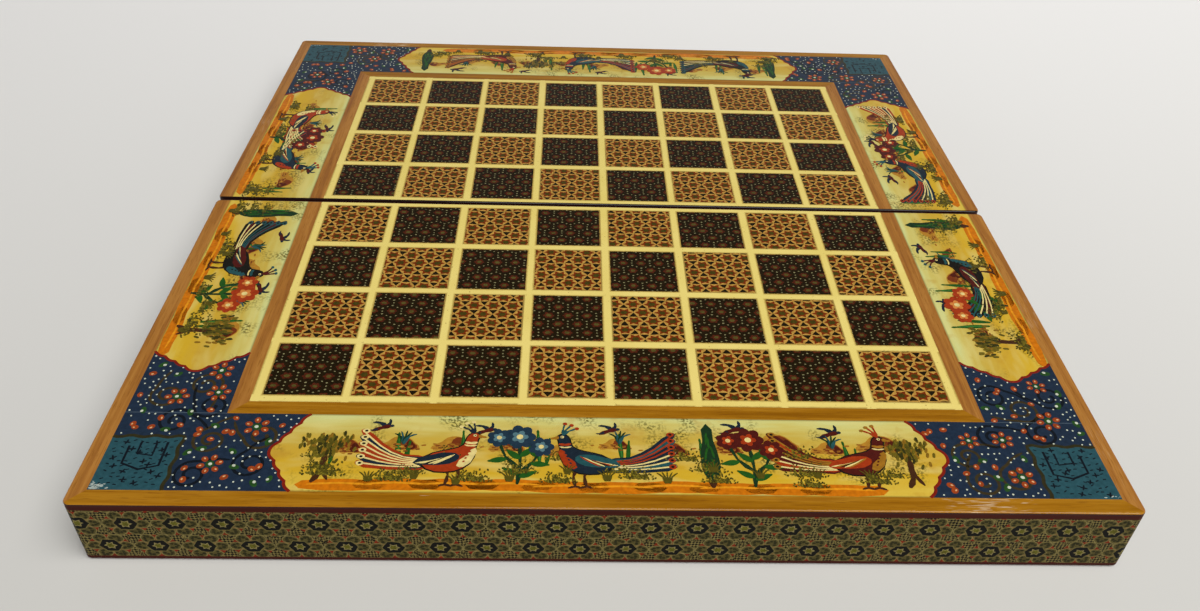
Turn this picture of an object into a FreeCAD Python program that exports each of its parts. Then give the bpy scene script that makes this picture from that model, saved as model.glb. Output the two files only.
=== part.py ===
# Folding chess box in inlaid wood, opened flat with its playing faces up.
#
# Two shallow trays of the same make are joined by a pair of brass butt hinges along their rims.
# Each tray is a frame of four walls under a deck. The deck carries half of the chess field: a cream
# sheet with khatam squares let into it, wooden strips and painted plates round it. The outer walls
# carry a khatam veneer, and the underside of the deck carries six pairs of inlaid points.
#
# Millimetres. X runs along the hinges, +Y to the back half, +Z up, and the origin is on the table
# below the middle of the seam.

import FreeCAD, Part
import math
import os

# Playing field
files = 8
ranks_per_half = 4
square_side = 32.0
line_width = 4.0

# Strips and plates laid round the field, from the field outwards
inner_strip_width = 7.0
plate_width = 40.0
border_strip_width = 7.0
facing_thickness = 1.0

# Clearance round each inlaid piece
inlay_clearance = 0.05

# Deck, walls and veneer of each half
deck_thickness = 2.5
wall_height = 28.5
wall_thickness = 9.2
hinge_wall_thickness = 10.0
veneer_thickness = 0.8
rim_lip_height = 2.5
corner_radius = 3.0
top_edge_radius = 0.8
rim_chamfer = 1.0

# Lining inside each half, with the points inlaid in it
lining_thickness = 1.0
points_per_side = 6
point_length = 150.0
point_spacing = 2.0

# Fold: the space between the hinge walls when open, and between the rims when closed
seam_gap = 1.0
rim_gap = 0.4

# Butt hinges: two leaves with interleaved knuckles on a pin
hinge_inset = 78.0
hinge_length = 32.0
leaf_reach = 8.4
leaf_thickness = 1.0
barrel_radius = 1.8
knuckle_count = 3
knuckle_gap = 0.2
pin_radius = 0.9
pin_clearance = 0.05
relief_clearance = 0.4
mortise_clearance = 0.1

# Countersunk screws of the hinges
screws_per_leaf = 2
screw_end_distance = 7.0
screw_row_distance = 5.2
screw_head_radius = 1.7
screw_shank_radius = 0.9
screw_length = 10.0
screw_clearance = 0.05
screw_slot_width = 0.6
screw_slot_depth = 0.6

# How far a cutting tool runs past what it cuts
overrun = 1.0

# Sizes that follow from those above
field_width = files * square_side + (files + 1) * line_width
field_depth = ranks_per_half * square_side + (ranks_per_half + 1) * line_width
border_width = inner_strip_width + plate_width + border_strip_width
half_width = field_width / 2 + border_width
inner_width = half_width - veneer_thickness - wall_thickness
deck_top = wall_height + deck_thickness
half_height = deck_top + facing_thickness
lining_bottom = wall_height - lining_thickness

# Distances from the hinge axis, along the tray
seam_face = seam_gap / 2
field_end = seam_face + field_depth
end_face = field_end + border_width
hinge_wall_inside = seam_face + hinge_wall_thickness
end_wall_inside = end_face - veneer_thickness - wall_thickness

# The axis lies half of the closed gap below the rims. Opened on a table, the box stands on its
# barrels and on the outer edges of both end rims, so each half leans down by this angle.
axis_drop = rim_gap / 2
rim_edge = end_face - rim_chamfer
lean = math.asin(barrel_radius / math.hypot(rim_edge, axis_drop)) + math.atan2(axis_drop, rim_edge)


def point(x, y, z):
    return FreeCAD.Vector(x, y, z)


def box(x_from, x_to, y_from, y_to, z_from, z_to):
    return Part.makeBox(x_to - x_from, y_to - y_from, z_to - z_from, point(x_from, y_from, z_from))


def slab(outline, z_from, z_to):
    """A flat piece of the given plan outline."""
    corners = [point(x, y, z_from) for x, y in outline]
    face = Part.Face(Part.makePolygon(corners + corners[:1]))
    return face.extrude(point(0, 0, z_to - z_from))


def rod(radius, x_from, x_to):
    """A round bar on the hinge axis."""
    return Part.makeCylinder(radius, x_to - x_from, point(x_from, 0, -axis_drop), point(1, 0, 0))


def mitred_strips(x_outer, x_inner, y_outer, y_inner, z_from, z_to):
    """Strips along both sides and the end of a half, mitred where they meet."""
    side = [(x_outer, seam_face), (x_outer, y_outer), (x_inner, y_inner), (x_inner, seam_face)]
    end = [(-x_outer, y_outer), (x_outer, y_outer), (x_inner, y_inner), (-x_inner, y_inner)]
    return {
        "left": slab([(-x, y) for x, y in side], z_from, z_to),
        "right": slab(side, z_from, z_to),
        "end": slab(end, z_from, z_to),
    }


def rounded_half():
    """The outside of a half as one block, with every outer edge eased."""
    block = box(-half_width, half_width, seam_face, end_face, 0, half_height)
    upright = [edge for edge in block.Edges if edge.BoundBox.ZLength > half_height / 2]
    block = block.makeFillet(corner_radius, upright)
    top = [edge for edge in block.Edges if edge.BoundBox.ZMin > half_height / 2]
    block = block.makeFillet(top_edge_radius, top)
    rim = [edge for edge in block.Edges if edge.BoundBox.ZMax < wall_height / 2]
    return block.makeChamfer(rim_chamfer, rim)


def screw_form(x, clearance):
    """A screw driven up into the rim, its head as deep as the leaf, or its hole where there is clearance."""
    head = screw_head_radius + clearance
    shank = screw_shank_radius + clearance
    profile = [(0, 0), (head, 0), (shank, leaf_thickness), (shank, screw_length), (0, screw_length)]
    corners = [point(x + radius, screw_row_distance, height) for radius, height in profile]
    face = Part.Face(Part.makePolygon(corners + corners[:1]))
    return face.revolve(point(x, screw_row_distance, 0), point(0, 0, 1), 360)


def slotted_screw(x):
    """A screw with the slot of its head along the hinge."""
    reach = screw_head_radius + overrun
    slot_from = screw_row_distance - screw_slot_width / 2
    slot_to = screw_row_distance + screw_slot_width / 2
    return screw_form(x, 0).cut(box(x - reach, x + reach, slot_from, slot_to, -overrun, screw_slot_depth))


def screw_places(hinge_x):
    """Where the screws of a leaf stand along the hinge."""
    span = hinge_length - 2 * screw_end_distance
    start = hinge_x - span / 2
    return [start + span * i / (screws_per_leaf - 1) for i in range(screws_per_leaf)]


def knuckle_spans(hinge_x):
    """Start and end of each knuckle along the hinge."""
    length = (hinge_length - (knuckle_count - 1) * knuckle_gap) / knuckle_count
    starts = [hinge_x - hinge_length / 2 + i * (length + knuckle_gap) for i in range(knuckle_count)]
    return [(start, start + length) for start in starts]


def hinge_leaf(hinge_x, first_knuckle):
    """A leaf flush with the rim, with every second knuckle of the barrel."""
    leaf = box(hinge_x - hinge_length / 2, hinge_x + hinge_length / 2, 0, leaf_reach, 0, leaf_thickness)
    spans = knuckle_spans(hinge_x)
    own = spans[first_knuckle::2]
    other = spans[1 - first_knuckle::2]
    notch = barrel_radius + knuckle_gap
    for start, end in other:
        leaf = leaf.cut(box(start - knuckle_gap, end + knuckle_gap, 0, notch, 0, leaf_thickness))
    for start, end in own:
        leaf = leaf.fuse(rod(barrel_radius, start, end))
    leaf = leaf.removeSplitter()
    bore_from = hinge_x - hinge_length / 2 - overrun
    bore_to = hinge_x + hinge_length / 2 + overrun
    leaf = leaf.cut(rod(pin_radius + pin_clearance, bore_from, bore_to))
    for x in screw_places(hinge_x):
        leaf = leaf.cut(screw_form(x, screw_clearance))
    return leaf


def hinge_pin(hinge_x):
    """A plain pin through all the knuckles, as long as the barrel."""
    return rod(pin_radius, hinge_x - hinge_length / 2, hinge_x + hinge_length / 2)


def hinge_places():
    """Middle of the left and the right hinge along X."""
    return {"left": hinge_inset - half_width, "right": half_width - hinge_inset}


def case_walls(outside):
    """The four walls of a tray. The outer three have a lip at the rim that the veneer stands on."""
    veneer_x = half_width - veneer_thickness
    veneer_y = end_face - veneer_thickness
    lips = mitred_strips(half_width, inner_width, end_face, end_wall_inside, 0, rim_lip_height)
    uppers = mitred_strips(veneer_x, inner_width, veneer_y, end_wall_inside, rim_lip_height, wall_height)
    walls = {side: lips[side].fuse(uppers[side]).removeSplitter() for side in lips}
    walls["hinge"] = box(-inner_width, inner_width, seam_face, hinge_wall_inside, 0, wall_height)
    walls = {side: wall.common(outside) for side, wall in walls.items()}
    for hinge_x in hinge_places().values():
        mortise_half = hinge_length / 2 + mortise_clearance
        mortise_end = leaf_reach + mortise_clearance
        mortise = box(hinge_x - mortise_half, hinge_x + mortise_half, 0, mortise_end, -overrun, leaf_thickness)
        relief_half = hinge_length / 2 + relief_clearance
        relief_end = barrel_radius + relief_clearance
        relief_top = relief_end - axis_drop
        relief = box(hinge_x - relief_half, hinge_x + relief_half, 0, relief_end, -overrun, relief_top)
        walls["hinge"] = walls["hinge"].cut(mortise).cut(relief)
        for x in screw_places(hinge_x):
            walls["hinge"] = walls["hinge"].cut(screw_form(x, screw_clearance))
    return walls


def wall_veneers(outside):
    """Khatam sheets on the outer walls. The end sheet covers the edges of the side sheets."""
    back = end_face - veneer_thickness
    inside = half_width - veneer_thickness
    sheets = {
        "left": box(-half_width, -inside, seam_face, back, rim_lip_height, wall_height),
        "right": box(inside, half_width, seam_face, back, rim_lip_height, wall_height),
        "end": box(-half_width, half_width, back, end_face, rim_lip_height, wall_height),
    }
    return {side: sheet.common(outside) for side, sheet in sheets.items()}


def border_strips(outside):
    """Wooden strips along the outer edge of the playing face."""
    inner_x = half_width - border_strip_width
    inner_y = end_face - border_strip_width
    strips = mitred_strips(half_width, inner_x, end_face, inner_y, deck_top, half_height)
    return {side: strip.common(outside) for side, strip in strips.items()}


def painted_plates(outside):
    """Plates between the strips. The end plate runs the whole width and the side plates butt on it."""
    outer_x = half_width - border_strip_width
    inner_x = outer_x - plate_width
    outer_y = end_face - border_strip_width
    inner_y = outer_y - plate_width
    plates = {
        "left": box(-outer_x, -inner_x, seam_face, inner_y, deck_top, half_height),
        "right": box(inner_x, outer_x, seam_face, inner_y, deck_top, half_height),
        "end": box(-outer_x, outer_x, inner_y, outer_y, deck_top, half_height),
    }
    return {side: plate.common(outside) for side, plate in plates.items()}


def inner_strips(outside):
    """Wooden strips that frame the field."""
    outer_x = field_width / 2 + inner_strip_width
    outer_y = field_end + inner_strip_width
    strips = mitred_strips(outer_x, field_width / 2, outer_y, field_end, deck_top, half_height)
    return {side: strip.common(outside) for side, strip in strips.items()}


def chess_field(outside):
    """Cream sheet with a window for every square, and the light and dark squares let into them."""
    pitch = square_side + line_width
    sheet = box(-field_width / 2, field_width / 2, seam_face, field_end, deck_top, half_height)
    squares = {"light": [], "dark": []}
    for file in range(files):
        for rank in range(ranks_per_half):
            x = line_width + file * pitch - field_width / 2
            y = seam_face + line_width + rank * pitch
            sheet = sheet.cut(box(x, x + square_side, y, y + square_side, deck_top, half_height))
            near = inlay_clearance
            far = square_side - inlay_clearance
            tile = box(x + near, x + far, y + near, y + far, deck_top, half_height)
            squares["light" if (file + rank) % 2 else "dark"].append(tile)
    return sheet.common(outside), squares


def lined_floor():
    """Lining below the deck, with tapered points inlaid from both side walls."""
    lining = box(-inner_width, inner_width, hinge_wall_inside, end_wall_inside, lining_bottom, wall_height)
    pitch = (end_wall_inside - hinge_wall_inside) / points_per_side
    points = {"light": [], "dark": []}
    for side in (-1, 1):
        for i in range(points_per_side):
            base = hinge_wall_inside + i * pitch
            start = base + point_spacing / 2
            end = base + pitch - point_spacing / 2
            tip_x = side * (inner_width - point_length)
            base_x = side * inner_width
            outline = [(base_x, start), (base_x, end), (tip_x, base + pitch / 2)]
            window = slab(outline, lining_bottom, wall_height)
            corners = [point(x, y, lining_bottom) for x, y in outline]
            edge = Part.makePolygon(corners + corners[:1]).makeOffset2D(-inlay_clearance)
            inlay = Part.Face(edge).extrude(point(0, 0, lining_thickness))
            lining = lining.cut(window)
            light = (i % 2 == 0) == (side < 0)
            points["light" if light else "dark"].append(inlay)
    return lining, points


def half_pieces(first_knuckle):
    """Every piece of one half by name, in the half's own frame: rim at z 0, hinge axis at y 0."""
    outside = rounded_half()
    deck = box(-half_width, half_width, seam_face, end_face, wall_height, deck_top)
    pieces = {"deck_panel": [deck.common(outside)]}
    groups = {
        "wall": case_walls(outside),
        "veneer": wall_veneers(outside),
        "border_strip": border_strips(outside),
        "plate": painted_plates(outside),
        "inner_strip": inner_strips(outside),
    }
    for kind, members in groups.items():
        for side, shape in members.items():
            pieces[f"{side}_{kind}"] = [shape]
    sheet, squares = chess_field(outside)
    lining, points = lined_floor()
    pieces["field_sheet"] = [sheet]
    pieces["floor_lining"] = [lining]
    for shade in ("light", "dark"):
        pieces[f"{shade}_squares"] = squares[shade]
        pieces[f"{shade}_points"] = points[shade]
    pieces["hinge_screws"] = []
    for side, hinge_x in hinge_places().items():
        pieces[f"{side}_hinge_leaf"] = [hinge_leaf(hinge_x, first_knuckle)]
        pieces["hinge_screws"] += [slotted_screw(x) for x in screw_places(hinge_x)]
    return pieces


def on_table(turn):
    """Puts a half on the table, leaning about the hinge axis and turned to its side of the seam."""
    about_x = FreeCAD.Rotation(point(1, 0, 0), -math.degrees(lean))
    about_z = FreeCAD.Rotation(point(0, 0, 1), turn)
    rotation = about_z.multiply(about_x)
    base = point(0, 0, barrel_radius) - rotation.multVec(point(0, 0, -axis_drop))
    return FreeCAD.Placement(base, rotation)


def export(name, solids, placement):
    placed = []
    for solid in solids:
        copy = solid.copy()
        copy.Placement = placement.multiply(copy.Placement)
        placed.append(copy)
    shape = placed[0] if len(placed) == 1 else Part.makeCompound(placed)
    shape.exportStep(f"parts/{name}.step")


def node_name(half, piece):
    """The front half is turned round, so its own left is the right of the whole box."""
    swapped = {"left": "right", "right": "left"}
    side, rest = piece.split("_", 1)
    if half == "front":
        side = swapped.get(side, side)
    if rest == "hinge_leaf":
        return f"{side}_hinge_{half}_leaf"
    return f"{half}_{side}_{rest}"


os.makedirs("parts", exist_ok=True)
for half, turn, first_knuckle in (("back", 0, 0), ("front", 180, 1)):
    for piece, solids in half_pieces(first_knuckle).items():
        export(node_name(half, piece), solids, on_table(turn))
for side, hinge_x in hinge_places().items():
    export(f"{side}_hinge_pin", [hinge_pin(hinge_x)], on_table(0))
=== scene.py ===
import random
from math import cos, degrees, hypot, pi, radians, sin, sqrt

import bpy
from mathutils import Matrix


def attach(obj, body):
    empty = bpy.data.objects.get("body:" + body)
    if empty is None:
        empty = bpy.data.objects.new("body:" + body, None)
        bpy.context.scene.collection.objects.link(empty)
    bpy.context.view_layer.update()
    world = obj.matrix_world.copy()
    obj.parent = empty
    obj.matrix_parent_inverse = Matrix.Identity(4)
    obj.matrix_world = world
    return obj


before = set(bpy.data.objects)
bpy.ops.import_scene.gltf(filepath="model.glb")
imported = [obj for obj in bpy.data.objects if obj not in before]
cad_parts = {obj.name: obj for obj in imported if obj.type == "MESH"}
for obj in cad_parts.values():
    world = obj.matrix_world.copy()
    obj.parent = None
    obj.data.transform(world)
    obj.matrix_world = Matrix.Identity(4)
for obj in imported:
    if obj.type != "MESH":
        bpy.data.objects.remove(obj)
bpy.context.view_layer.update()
scene = bpy.context.scene

# Case: deck boards and walls of the two trays
# Thin softwood boards, the outer walls mitred at the corners and glued under the deck.
# The wood is brushed with a maroon stain and varnished, so it shows as dark lines round the mosaic.
MM = 0.001
LEAN = radians(0.5686991)  # each half rests on its hinge barrels and on its end rim
AXIS_HEIGHT = 1.8  # mm from the table to the hinge axis
AXIS_BELOW_RIM = 0.2
HALF_TURN = {"back": (LEAN, 0, 0), "front": (-LEAN, 0, pi)}
HALF_SHIFT = (0, AXIS_HEIGHT * sin(LEAN), -AXIS_HEIGHT * cos(LEAN) - AXIS_BELOW_RIM)
STAIN_DARK, STAIN_LIGHT = "#2C0A04", "#48180C"
STAIN = {"Roughness": 0.55, "IOR": 1.5, "Specular IOR Level": 0.04, "Coat Weight": 0.08,
         "Coat Roughness": 0.2, "Coat IOR": 1.5}
FIBRE, FIBRE_DEPTH = (30, 0.7), 0.08  # mm, length and width of the brushed fibres, and their relief


def linear(hex_colour):
    """sRGB hex to the linear colour of a socket."""
    parts = [int(hex_colour[i:i + 2], 16) / 255 for i in (1, 3, 5)]
    return tuple(p / 12.92 if p <= 0.04045 else ((p + 0.055) / 1.055) ** 2.4 for p in parts) + (1.0,)


def feed(made, inputs):
    """Fills inputs of a node; each is a value, a socket, or a node that gives its first output."""
    for socket, value in inputs.items():
        if isinstance(value, bpy.types.Node):
            value = value.outputs[0]
        if isinstance(value, bpy.types.NodeSocket):
            made.id_data.links.new(value, made.inputs[socket])
        else:
            made.inputs[socket].default_value = value


def node(tree, kind, inputs=None, **settings):
    """Adds a node with its settings and inputs."""
    made = tree.nodes.new("ShaderNode" + kind)
    for name, value in settings.items():
        setattr(made, name, value)
    feed(made, inputs or {})
    return made


def finish(name, half, constants):
    """A Principled material with its constants, and a place in millimetres in the half's own frame."""
    material = bpy.data.materials.new(name)
    material.use_nodes = True
    tree = material.node_tree
    shader = tree.nodes["Principled BSDF"]
    feed(shader, constants)
    seen = node(tree, "TexCoord").outputs["Object"]
    place = node(tree, "Mapping", {"Vector": seen, "Location": HALF_SHIFT, "Rotation": HALF_TURN[half],
                                   "Scale": (1 / MM, 1 / MM, 1 / MM)})
    return material, tree, shader, place


def drawn_out(tree, place, along, length, width, detail, seed=0):
    """Noise stretched along X or Y, for grain and brush marks of a given length and width in millimetres."""
    scale = [1 / width] * 3
    scale["XY".index(along)] = 1 / length
    stretched = node(tree, "Mapping", {"Vector": place, "Scale": scale})
    return node(tree, "TexNoise", {"Vector": stretched, "W": seed, "Scale": 1, "Detail": detail},
                noise_dimensions="4D")


def wear(names, material):
    """Gives CAD nodes a finish in their slot."""
    for name in names:
        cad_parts[name].material_slots[0].material = material


for seed, half in enumerate(HALF_TURN):
    for along, sides in (("X", ("deck_panel", "end_wall", "hinge_wall")), ("Y", ("left_wall", "right_wall"))):
        stained, tree, shader, place = finish(f"maroon_stained_wood_{half}_{along.lower()}", half, STAIN)
        fibre = drawn_out(tree, place, along, *FIBRE, 4, seed)
        stain = node(tree, "MixRGB", {"Fac": fibre, "Color1": linear(STAIN_DARK),
                                      "Color2": linear(STAIN_LIGHT)})
        bump = node(tree, "Bump", {"Height": fibre, "Distance": FIBRE_DEPTH * MM, "Strength": 0.5})
        feed(shader, {"Base Color": stain, "Normal": bump})
        wear([f"{half}_{side}" for side in sides], stained)

# Wall veneer: khatam sheets on the three outer walls of each half
# Sheets sawn from a block of glued rods of wood, bone and brass, so one star pattern repeats along the wall.
# Two staggered rows of dark hexagon rings, each with an olive star inside and six olive petals round it.
# Red rods fill the gaps between the petals, and chequered triangles the corners.
WALL_PITCH, WALL_ROW = 17.6, 12.8  # mm between stars and between rows
WALL_START = (3.3, 21.5, 0.0)  # mm from the middle of a wall and from its rim to a star of the upper row
CHEQUER, CHEQUER_DARK, CHEQUER_PALE = 0.9, "#0C0902", "#6E6236"  # mm, and the two colours
PETAL = (0.335, 0)
WALL_RODS = (  # colour, reach in pitches, and the spot or the direction in degrees that it is counted from
    ("#701E08", 0.43, 30), ("#70653A", 0.166, PETAL), ("#4C4420", 0.142, PETAL),
    ("#26240C", 0.04, (0.38, 0.05)), ("#26240C", 0.038, (0.30, 0.085)), ("#26240C", 0.03, (0.43, 0)),
    ("#665C32", 0.234, 30), ("#0C0B05", 0.214, 30), ("#82764A", 0.072, 60), ("#545014", 0.052, 60))


def star_lattice(tree, flat, pitch, row):
    """Folds flat millimetres onto one star of the lattice: a vector in pitches, 0 to 30 degrees round."""
    cells = node(tree, "VectorMath", {0: flat, 1: (pitch, 2 * row, 1)}, operation="DIVIDE")
    offsets, lengths = [], []
    for step in (0.5, 1.0):
        moved = node(tree, "VectorMath", {0: cells, 1: (step, step, 0)}, operation="ADD")
        part = node(tree, "VectorMath", {0: moved}, operation="FRACTION")
        centred = node(tree, "VectorMath", {0: part, 1: (0.5, 0.5, 0)}, operation="SUBTRACT")
        offset = node(tree, "VectorMath", {0: centred, 1: (1, sqrt(3), 0)}, operation="MULTIPLY")
        offsets.append(offset)
        lengths.append(node(tree, "VectorMath", {0: offset}, operation="LENGTH").outputs["Value"])
    second = node(tree, "Math", {0: lengths[1], 1: lengths[0]}, operation="LESS_THAN")
    nearest = node(tree, "MixRGB", {"Fac": second, "Color1": offsets[0], "Color2": offsets[1]})
    reach = node(tree, "Math", {0: lengths[0], 1: lengths[1]}, operation="MINIMUM")
    axes = node(tree, "SeparateXYZ", {0: nearest})
    angle = node(tree, "Math", {0: axes.outputs["Y"], 1: axes.outputs["X"]}, operation="ARCTAN2")
    folded = node(tree, "Math", {0: angle, 1: pi / 6}, operation="PINGPONG")
    cosine = node(tree, "Math", {0: folded}, operation="COSINE")
    sine = node(tree, "Math", {0: folded}, operation="SINE")
    direction = node(tree, "CombineXYZ", {"X": cosine, "Y": sine})
    return node(tree, "VectorMath", {0: direction, "Scale": reach}, operation="SCALE")


def inlay(tree, ground, star, rods):
    """Lays rods over the ground, each kind within its reach of a spot, or of the star along a direction."""
    for hex_colour, reach, bound in rods:
        if isinstance(bound, tuple):
            away = node(tree, "VectorMath", {0: star, 1: (*bound, 0)}, operation="DISTANCE")
        else:
            towards = (cos(radians(bound)), sin(radians(bound)), 0)
            away = node(tree, "VectorMath", {0: star, 1: towards}, operation="DOT_PRODUCT")
        mask = node(tree, "Math", {0: away.outputs["Value"], 1: reach}, operation="LESS_THAN")
        ground = node(tree, "MixRGB", {"Fac": mask, "Color1": ground, "Color2": linear(hex_colour)})
    return ground


def handmade(tree, flat, amount, size):
    """Flat millimetres pushed about a little, as in hand-glued rods."""
    noise = node(tree, "TexNoise", {"Vector": flat, "Scale": 1 / size, "Detail": 1})
    push = node(tree, "VectorMath", {0: noise.outputs["Color"], 1: (0.5, 0.5, 0.5)}, operation="SUBTRACT")
    push = node(tree, "VectorMath", {0: push, "Scale": amount}, operation="SCALE")
    return node(tree, "VectorMath", {0: flat, 1: push}, operation="ADD")


def aged(tree, colour, place, size, darkest):
    """Rod to rod and patch to patch differences in tone."""
    noise = node(tree, "TexNoise", {"Vector": place, "Scale": 1 / size, "Detail": 2})
    tone = node(tree, "MapRange", {"Value": noise, "From Min": 0.3, "From Max": 0.7,
                                   "To Min": darkest, "To Max": 2 - darkest})
    return node(tree, "MixRGB", {"Fac": 1, "Color1": colour, "Color2": tone}, blend_type="MULTIPLY")


for half in HALF_TURN:
    for along, sides in (("X", ("end_veneer",)), ("Y", ("left_veneer", "right_veneer"))):
        veneer, tree, shader, place = finish(f"khatam_wall_veneer_{half}_{along.lower()}", half, STAIN)
        axes = node(tree, "SeparateXYZ", {0: place})
        flat = node(tree, "CombineXYZ", {"X": axes.outputs[along], "Y": axes.outputs["Z"]})
        flat = node(tree, "VectorMath", {0: flat, 1: WALL_START}, operation="SUBTRACT")
        flat = handmade(tree, handmade(tree, flat, 1.3, 6), 0.6, 1.6)
        star = star_lattice(tree, flat, WALL_PITCH, WALL_ROW)
        diagonal = node(tree, "Mapping", {"Vector": flat, "Rotation": (0, 0, radians(45))})
        chequer = node(tree, "TexChecker", {"Vector": diagonal, "Scale": 1 / CHEQUER,
                                            "Color1": linear(CHEQUER_DARK), "Color2": linear(CHEQUER_PALE)})
        rods = inlay(tree, chequer, star, WALL_RODS)
        feed(shader, {"Base Color": aged(tree, rods, place, 1.5, 0.7)})
        wear([f"{half}_{side}" for side in sides], veneer)

# Wooden strips: border strips along the outer edge and inner strips round the chess field
# Straight-grained orange-brown hardwood, tanner along the sides, mitred and glued on flush with the plates.
# Varnished over; the outer side has the case's maroon stain, the seam edge that stain with painted shade on
# it.
# The top of the border strips has pale marks in places, partly wear and partly painted glints of light.
STRIP_TOP = 32.0  # mm, top of the playing face over the rim
EASED = 0.4  # mm below the top, where the stained outer side begins
SEAM_EDGE = 1.5  # mm from the hinge axis to where the eased edge along the seam ends
# The seam colour is the case stain made darker as painted shade of the gap between the halves.
SEAM_STAIN_AND_SHADE, STRIP_PORE, SCUFF_AND_GLINT = "#160503", "#6A3C06", "#DCCBAE"
BOARD, PORE, SCRATCH_AND_GLINT = (60, 2.2), (7, 0.35), (8, 0.45)  # mm, length and width
SCUFF_AND_GLINT_PATCH, BOARD_DEPTH = 45, 0.10  # mm
# The strength column sets both the wear marks and the painted glints on the border strips.
STRIPS = (  # grain, axis across it, mm to the border strip, strength of the scuffs, hues, sides
    ("X", "Y", 195.0, 0.4, ("#7C4C00", "#905E08", "#9E6C16", "#865204"), ("end",)),
    ("Y", "X", 192.5, 0.1, ("#825022", "#966228", "#A47032", "#8C5624"), ("left", "right")))
VARNISH = {"Roughness": 0.45, "IOR": 1.5, "Specular IOR Level": 0.05, "Coat Weight": 0.4,
           "Coat Roughness": 0.08, "Coat IOR": 1.5}


def seam_edge(tree, colour, place):
    """Stain of the hinge wall with painted shade of the seam gap, drawn over the eased edge along the seam.
    """
    distance = node(tree, "SeparateXYZ", {0: place}).outputs["Y"]
    stained = node(tree, "Math", {0: distance, 1: SEAM_EDGE}, operation="LESS_THAN")
    return node(tree, "MixRGB", {"Fac": stained, "Color1": colour, "Color2": linear(SEAM_STAIN_AND_SHADE)})


for seed, half in enumerate(HALF_TURN):
    for along, across, outer, scuff_and_glint_strength, hues, sides in STRIPS:
        strip, tree, shader, place = finish(f"varnished_strip_wood_{half}_{along.lower()}", half, VARNISH)
        board = drawn_out(tree, place, along, *BOARD, 3, seed)
        wood = node(tree, "ValToRGB", {"Fac": board})
        for stop, hex_colour in zip((0.30, 0.48, 0.62, 0.8), hues):
            wood.color_ramp.elements.new(stop).color = linear(hex_colour)
        wood.color_ramp.elements.remove(wood.color_ramp.elements[0])
        wood.color_ramp.elements.remove(wood.color_ramp.elements[-1])
        pore = drawn_out(tree, place, along, *PORE, 2, seed + 5)
        dark = node(tree, "MapRange", {"Value": pore, "From Min": 0.56, "From Max": 0.68, "To Max": 0.55})
        # Pale streaks on the border strips: wear, and painted glints of light on the varnish.
        scratch_and_glint = drawn_out(tree, place, along, *SCRATCH_AND_GLINT, 1, seed + 9)
        patch = node(tree, "TexNoise", {"Vector": place, "Scale": 1 / SCUFF_AND_GLINT_PATCH, "Detail": 0})
        scuffs_and_glints = node(tree, "Math", {0: scratch_and_glint, 1: patch}, operation="MULTIPLY")
        scuffs_and_glints = node(tree, "MapRange", {"Value": scuffs_and_glints, "From Min": 0.40, "From Max": 0.43,
                                         "To Max": scuff_and_glint_strength})
        axes = node(tree, "SeparateXYZ", {0: place})
        reach = node(tree, "Math", {0: axes.outputs[across]}, operation="ABSOLUTE")
        border = node(tree, "Math", {0: reach, 1: outer}, operation="GREATER_THAN")
        scuffs_and_glints = node(tree, "Math", {0: scuffs_and_glints, 1: border}, operation="MULTIPLY")
        edge = node(tree, "Math", {0: axes.outputs["Z"], 1: STRIP_TOP - EASED}, operation="LESS_THAN")
        for mask, hex_colour in ((dark, STRIP_PORE), (scuffs_and_glints, SCUFF_AND_GLINT), (edge, STAIN_DARK)):
            wood = node(tree, "MixRGB", {"Fac": mask, "Color1": wood, "Color2": linear(hex_colour)})
        bump = node(tree, "Bump", {"Height": board, "Distance": BOARD_DEPTH * MM, "Strength": 0.5})
        feed(shader, {"Base Color": seam_edge(tree, wood, place), "Normal": bump})
        wear([f"{half}_{side}_{kind}" for side in sides for kind in ("border_strip", "inner_strip")], strip)

# Field sheet: the cream lines between the squares
# One sheet of ivory-coloured plastic per half, sawn out for the squares and glued down.
# Brown glue has crept along every window, and the sheet has yellowed unevenly under the varnish.
CELL = 36.0  # mm from square to square
FIELD_CORNER = (-144.0, 2.5, 0.0)  # mm, corner of the lattice of cells in the half's own frame
SQUARE_HALF = 16.0
MISPLACED, RAGGED, CREEP = 0.7, 0.7, 0.75  # mm, errors in the place and edge of a window, width of the glue
SHEET_CLOUD, SHEET_SPECK, SHEET_DEPTH = 22, 1.3, 0.15  # mm
SHEET_SHADE, SHEET_TINT, GLUE, SPECK = "#D0B85C", "#E0CE7C", "#8A6820", "#6A4A18"


def board_cell(tree, place):
    """Chance colour of a point's cell, and the point's distance from its middle, as a square's."""
    moved = node(tree, "VectorMath", {0: place, 1: FIELD_CORNER}, operation="SUBTRACT")
    counted = node(tree, "VectorMath", {0: moved, 1: (CELL, CELL, 1000)}, operation="DIVIDE")
    number = node(tree, "VectorMath", {0: counted}, operation="FLOOR")
    chance = node(tree, "TexWhiteNoise", {"Vector": number}).outputs["Color"]
    part = node(tree, "VectorMath", {0: counted}, operation="FRACTION")
    part = node(tree, "VectorMath", {0: part, 1: (0.5, 0.5, 0)}, operation="SUBTRACT")
    part = node(tree, "VectorMath", {0: part, 1: (CELL, CELL, 0)}, operation="MULTIPLY")
    shaken = node(tree, "VectorMath", {0: chance, 1: (0.5, 0.5, 0.5)}, operation="SUBTRACT")
    shaken = node(tree, "VectorMath", {0: shaken, "Scale": MISPLACED}, operation="SCALE")
    part = node(tree, "VectorMath", {0: part, 1: shaken}, operation="ADD")
    size = node(tree, "VectorMath", {0: part}, operation="ABSOLUTE")
    axes = node(tree, "SeparateXYZ", {0: size})
    edge = node(tree, "Math", {0: axes.outputs["X"], 1: axes.outputs["Y"]}, operation="MAXIMUM")
    ragged = node(tree, "TexNoise", {"Vector": place, "Scale": 1 / 1.6, "Detail": 3})
    ragged = node(tree, "Math", {0: ragged, 1: RAGGED, 2: -RAGGED / 2}, operation="MULTIPLY_ADD")
    return chance, node(tree, "Math", {0: edge, 1: ragged}, operation="ADD")


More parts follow.
